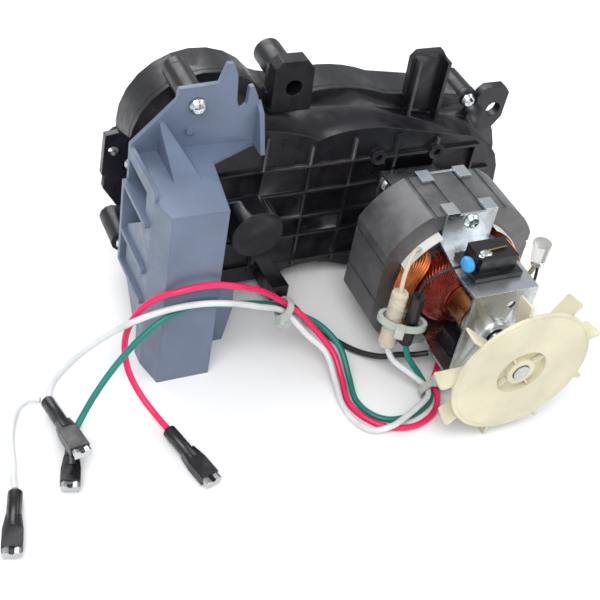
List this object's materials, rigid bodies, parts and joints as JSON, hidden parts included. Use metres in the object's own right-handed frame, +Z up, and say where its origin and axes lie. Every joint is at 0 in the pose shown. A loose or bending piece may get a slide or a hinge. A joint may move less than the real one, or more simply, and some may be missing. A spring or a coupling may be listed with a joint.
{
  "type": "geared universal motor unit with cooling wheel",
  "caption": "Brushed universal motor on a ribbed gearbox, with a radial cooling wheel, a side chute bracket, an output driver and loose leads with push-on terminals.",
  "frame": {"origin": "centre of the body's bounding box, leads left out, on the surface the unit stands on", "axes": "+X to the motor end of the gearbox, +Y from the cooling wheel to the gearbox's rear along the motor shaft, +Z up"},
  "size_m": [0.3062, 0.1886, 0.142],
  "materials": {
    "case_black": "satin moulded",
    "bracket_blue": "satin moulded",
    "fan_cream": "satin moulded",
    "gear_nylon": "satin moulded",
    "steel_plate": "dull pressed",
    "zinc": "zinc plated",
    "steel": "bright",
    "copper": "enamelled",
    "film": "smooth",
    "carbon": "matt",
    "holder_black": "satin",
    "brass": "satin",
    "blue": "satin",
    "sleeve": "braided",
    "tie_nylon": "translucent",
    "clear": "clear",
    "lead_white": "satin",
    "lead_green": "satin",
    "lead_red": "satin",
    "lead_black": "satin"
  },
  "bodies": {
    "housing": {"gearbox_front_shell": "case_black", "gearbox_rear_shell": "case_black", "first_gear_pin": "steel", "second_gear_pin": "steel", "output_bush": "brass", "case_screw_left_upper": "zinc", "case_screw_left_lower": "zinc", "case_screw_right": "zinc", "case_screw_bottom_left": "zinc", "case_screw_bottom_right": "zinc", "bracket_screw": "zinc", "chute_bracket": "bracket_blue", "stator_core": "steel_plate", "field_coil_right": "copper", "field_coil_left": "copper", "slot_liner_upper_right": "film", "slot_liner_lower_right": "film", "slot_liner_upper_left": "film", "slot_liner_lower_left": "film", "front_frame": "zinc", "rear_frame": "zinc", "front_bearing": "steel", "rear_bearing": "steel", "frame_screw_upper": "zinc", "frame_screw_lower": "zinc", "rear_frame_screw_upper": "zinc", "rear_frame_screw_lower": "zinc", "brush_holder_upper": "holder_black", "carbon_brush_upper": "carbon", "brush_spring_upper": "steel", "brush_holder_lower": "holder_black", "carbon_brush_lower": "carbon", "brush_spring_lower": "steel", "suppressor": "blue", "thermal_fuse": "holder_black", "braided_sleeve": "sleeve", "closed_end_connector": "clear", "lead_white": "lead_white", "lead_red": "lead_red", "lead_green": "lead_green", "lead_jumper": "lead_white", "lead_black": "lead_black", "terminal_white": "holder_black", "terminal_green": "holder_black", "terminal_jumper": "holder_black", "terminal_red": "holder_black", "lead_tie_lower": "tie_nylon", "lead_tie_upper": "tie_nylon", "fuse_tie": "tie_nylon"},
    "rotor": {"motor_shaft": "steel", "armature_core": "steel_plate", "armature_winding_front": "copper", "armature_winding_rear": "copper", "commutator": "copper", "motor_pinion": "steel", "cooling_fan": "fan_cream"},
    "first_stage": {"first_gear": "gear_nylon"},
    "second_stage": {"second_gear": "gear_nylon"},
    "output": {"output_gear": "gear_nylon", "output_shaft": "steel"}
  },
  "joints": [
    {"name": "rotor_spin", "type": "hinge", "parent": "housing", "child": "rotor", "pos_m": [0.04475, 0.0075, 0.043], "axis": [0, 1, 0], "continuous": true},
    {"name": "first_gear_spin", "type": "hinge", "parent": "housing", "child": "first_stage", "pos_m": [0.00375, 0.0075, 0.052], "axis": [0, 1, 0], "continuous": true},
    {"name": "second_gear_spin", "type": "hinge", "parent": "housing", "child": "second_stage", "pos_m": [-0.0427, 0.0075, 0.05], "axis": [0, 1, 0], "continuous": true},
    {"name": "output_spin", "type": "hinge", "parent": "housing", "child": "output", "pos_m": [-0.06305, 0.0075, 0.08674], "axis": [0, 1, 0], "continuous": true}
  ],
  "couplings": [
    {"joint": "first_gear_spin", "follows": "rotor_spin", "ratio": -0.16667},
    {"joint": "second_gear_spin", "follows": "rotor_spin", "ratio": 0.057971},
    {"joint": "output_spin", "follows": "rotor_spin", "ratio": -0.028986}
  ]
}
